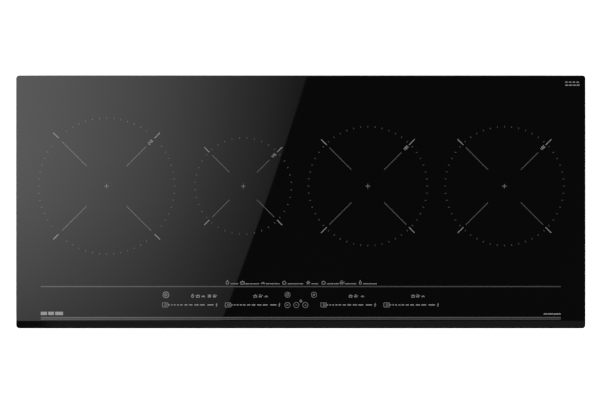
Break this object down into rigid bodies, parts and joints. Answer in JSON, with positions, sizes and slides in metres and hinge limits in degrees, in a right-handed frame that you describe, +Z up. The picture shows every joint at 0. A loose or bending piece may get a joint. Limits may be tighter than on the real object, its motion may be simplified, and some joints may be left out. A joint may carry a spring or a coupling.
{
  "type": "built-in induction hob",
  "caption": "Wide, shallow built-in hob: flat black glass-ceramic plate with a bevelled front over a sheet-metal tray, cooking zones side by side and touch controls along the front.",
  "frame": {"origin": "centre of the glass's outline in plan, in the plane of the worktop's top, which is the underside of the seal", "axes": "+X to the right and -Y to the front as the user stands, +Z up, away from the worktop"},
  "size_m": [0.9, 0.4, 0.056],
  "materials": {
    "black_glass": "polished black glass-ceramic, opaque",
    "silicone": "matt dark silicone bead",
    "foam": "matt closed-cell foam",
    "steel_sheet": "galvanised sheet steel",
    "screw_steel": "zinc-plated",
    "spring_steel": "plain spring steel",
    "aluminium": "mill-finish aluminium",
    "motor_parts": "laminated steel and enamelled wire",
    "light_plastic": "matt off-white moulding",
    "dark_plastic": "matt black glass-filled moulding",
    "black_parts": "satin black epoxy",
    "circuit_board": "green solder mask",
    "capacitor_film": "yellow film-capacitor cases",
    "copper": "enamelled copper litz",
    "ferrite": "matt grey sintered ferrite",
    "mica": "silvery amber mica sheet",
    "silicone_white": "white silicone",
    "rubber": "black rubber",
    "wire_jacket": "silicone-jacketed wire"
  },
  "bodies": {
    "casing": {"glass_panel": "black_glass", "silicone_bond": "silicone", "worktop_seal": "foam", "glass_frame": "steel_sheet", "base_tray": "steel_sheet", "side_screws": "screw_steel", "coil_plate_left": "aluminium", "coil_plate_right": "aluminium", "plate_pillars": "screw_steel", "inner_screws": "screw_steel", "blower_motors": "motor_parts", "board_trays": "light_plastic", "power_board_left": "circuit_board", "power_board_right": "circuit_board", "heatsinks": "aluminium", "power_switches": "black_parts", "capacitors": "capacitor_film", "chokes": "copper", "filter_board": "circuit_board", "touch_carrier": "dark_plastic", "touch_board": "circuit_board", "touch_springs": "spring_steel", "displays": "black_parts", "terminal_box": "dark_plastic", "terminal_block": "light_plastic", "inlet_grommet": "rubber", "wiring": "wire_jacket", "coil_1_springs": "spring_steel", "coil_2_springs": "spring_steel", "coil_3_springs": "spring_steel", "coil_4_springs": "spring_steel", "blower_left_housing": "dark_plastic", "blower_right_housing": "dark_plastic"},
    "terminal_lid": {"terminal_cover": "dark_plastic"},
    "coil_1": {"coil_1_carrier": "dark_plastic", "coil_1_winding": "copper", "coil_1_ferrites": "ferrite", "coil_1_mica": "mica", "coil_1_sensor": "silicone_white"},
    "coil_2": {"coil_2_carrier": "dark_plastic", "coil_2_winding": "copper", "coil_2_ferrites": "ferrite", "coil_2_mica": "mica", "coil_2_sensor": "silicone_white"},
    "coil_3": {"coil_3_carrier": "dark_plastic", "coil_3_winding": "copper", "coil_3_ferrites": "ferrite", "coil_3_mica": "mica", "coil_3_sensor": "silicone_white"},
    "coil_4": {"coil_4_carrier": "dark_plastic", "coil_4_winding": "copper", "coil_4_ferrites": "ferrite", "coil_4_mica": "mica", "coil_4_sensor": "silicone_white"},
    "blower_left_wheel": {"blower_left_rotor": "dark_plastic"},
    "clip_left_front_leaf": {"clip_left_front": "spring_steel"},
    "clip_left_rear_leaf": {"clip_left_rear": "spring_steel"},
    "blower_right_wheel": {"blower_right_rotor": "dark_plastic"},
    "clip_right_front_leaf": {"clip_right_front": "spring_steel"},
    "clip_right_rear_leaf": {"clip_right_rear": "spring_steel"}
  },
  "joints": [
    {"name": "coil_1_press", "type": "slide", "parent": "casing", "child": "coil_1", "axis": [0, 0, 1], "range_m": [-0.003, 0], "stiffness_N_per_m": 4500, "springref_m": 0.004, "deforming": ["coil_1_springs"]},
    {"name": "coil_2_press", "type": "slide", "parent": "casing", "child": "coil_2", "axis": [0, 0, 1], "range_m": [-0.003, 0], "stiffness_N_per_m": 4500, "springref_m": 0.004, "deforming": ["coil_2_springs"]},
    {"name": "coil_3_press", "type": "slide", "parent": "casing", "child": "coil_3", "axis": [0, 0, 1], "range_m": [-0.003, 0], "stiffness_N_per_m": 4500, "springref_m": 0.004, "deforming": ["coil_3_springs"]},
    {"name": "coil_4_press", "type": "slide", "parent": "casing", "child": "coil_4", "axis": [0, 0, 1], "range_m": [-0.003, 0], "stiffness_N_per_m": 4500, "springref_m": 0.004, "deforming": ["coil_4_springs"]},
    {"name": "blower_left_spin", "type": "hinge", "parent": "casing", "child": "blower_left_wheel", "pos_m": [-0.345, -0.108, -0.0336], "axis": [0, 0, 1], "continuous": true},
    {"name": "blower_right_spin", "type": "hinge", "parent": "casing", "child": "blower_right_wheel", "pos_m": [0.345, -0.108, -0.0336], "axis": [0, 0, 1], "continuous": true},
    {"name": "clip_left_front_press", "type": "hinge", "parent": "casing", "child": "clip_left_front_leaf", "pos_m": [-0.425, -0.11, -0.029], "axis": [0, 1, 0], "range_deg": [0, 12], "stiffness_Nm_per_rad": 0.6},
    {"name": "clip_left_rear_press", "type": "hinge", "parent": "casing", "child": "clip_left_rear_leaf", "pos_m": [-0.425, 0.11, -0.029], "axis": [0, 1, 0], "range_deg": [0, 12], "stiffness_Nm_per_rad": 0.6},
    {"name": "clip_right_front_press", "type": "hinge", "parent": "casing", "child": "clip_right_front_leaf", "pos_m": [0.425, -0.11, -0.029], "axis": [0, -1, 0], "range_deg": [0, 12], "stiffness_Nm_per_rad": 0.6},
    {"name": "clip_right_rear_press", "type": "hinge", "parent": "casing", "child": "clip_right_rear_leaf", "pos_m": [0.425, 0.11, -0.029], "axis": [0, -1, 0], "range_deg": [0, 12], "stiffness_Nm_per_rad": 0.6},
    {"name": "terminal_lid_hinge", "type": "hinge", "parent": "casing", "child": "terminal_lid", "pos_m": [0.1, 0.1222, -0.0472], "axis": [-1, 0, 0], "range_deg": [0, 95]}
  ]
}
